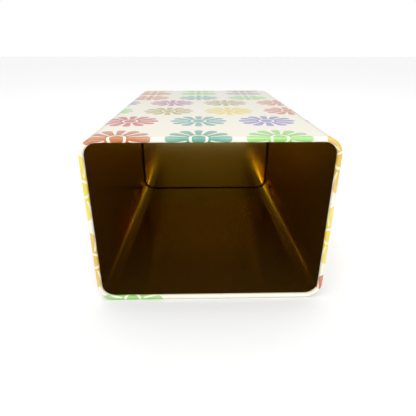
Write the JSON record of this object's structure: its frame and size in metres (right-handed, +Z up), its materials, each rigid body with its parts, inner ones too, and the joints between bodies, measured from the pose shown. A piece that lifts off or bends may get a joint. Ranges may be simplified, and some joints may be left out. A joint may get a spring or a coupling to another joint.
{
  "type": "open printed tin box",
  "caption": "Open rectangular tinplate box lying on a long side, with a rolled rim, slightly tapered body, curled-in base pan, daisy print outside and gold lacquer inside.",
  "frame": {"origin": "bottom centre of the bounding box of the tin as it lies on a long side", "axes": "+X across the mouth, +Z up from the lower long face, the mouth faces -Y and the base +Y"},
  "size_m": [0.15, 0.21, 0.1105],
  "materials": {
    "printed_tinplate": "gloss varnish over a cream and multicolour daisy print; gold lacquer on the inner face",
    "gold_lacquer": "gold lacquer on bright tinplate, nearly a mirror"
  },
  "bodies": {
    "root": {"body_wrap": "printed_tinplate", "base_pan": "gold_lacquer"}
  },
  "joints": []
}
